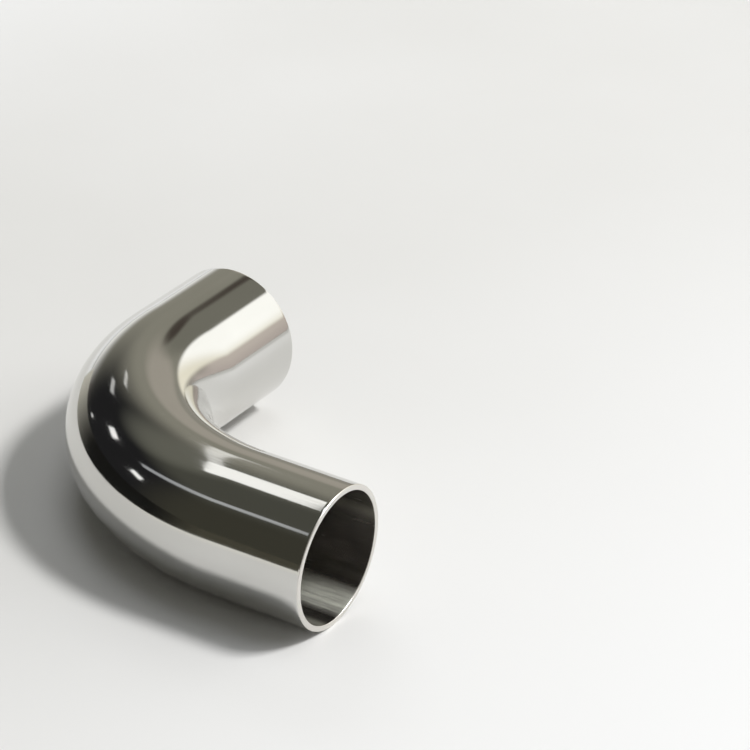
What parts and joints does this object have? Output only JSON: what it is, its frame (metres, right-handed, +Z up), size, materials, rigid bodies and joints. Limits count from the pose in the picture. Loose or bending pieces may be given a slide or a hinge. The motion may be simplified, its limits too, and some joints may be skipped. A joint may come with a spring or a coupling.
{
  "type": "long radius elbow",
  "caption": "Quarter-turn polished steel tube elbow with a wide bend and a straight run at each end, for welding or clamping into a pipe run.",
  "frame": {"origin": "centre of the inlet mouth, on the tube's axis", "axes": "the inlet run goes along +Y from its mouth, which faces -Y; the outlet run goes along +X to its mouth, which faces +X; +Z is up, square to the plane of the bend, as the elbow lies flat"},
  "size_m": [0.1397, 0.1397, 0.0508],
  "materials": {
    "polished_steel": "polished"
  },
  "bodies": {
    "root": {"elbow": "polished_steel"}
  },
  "joints": []
}
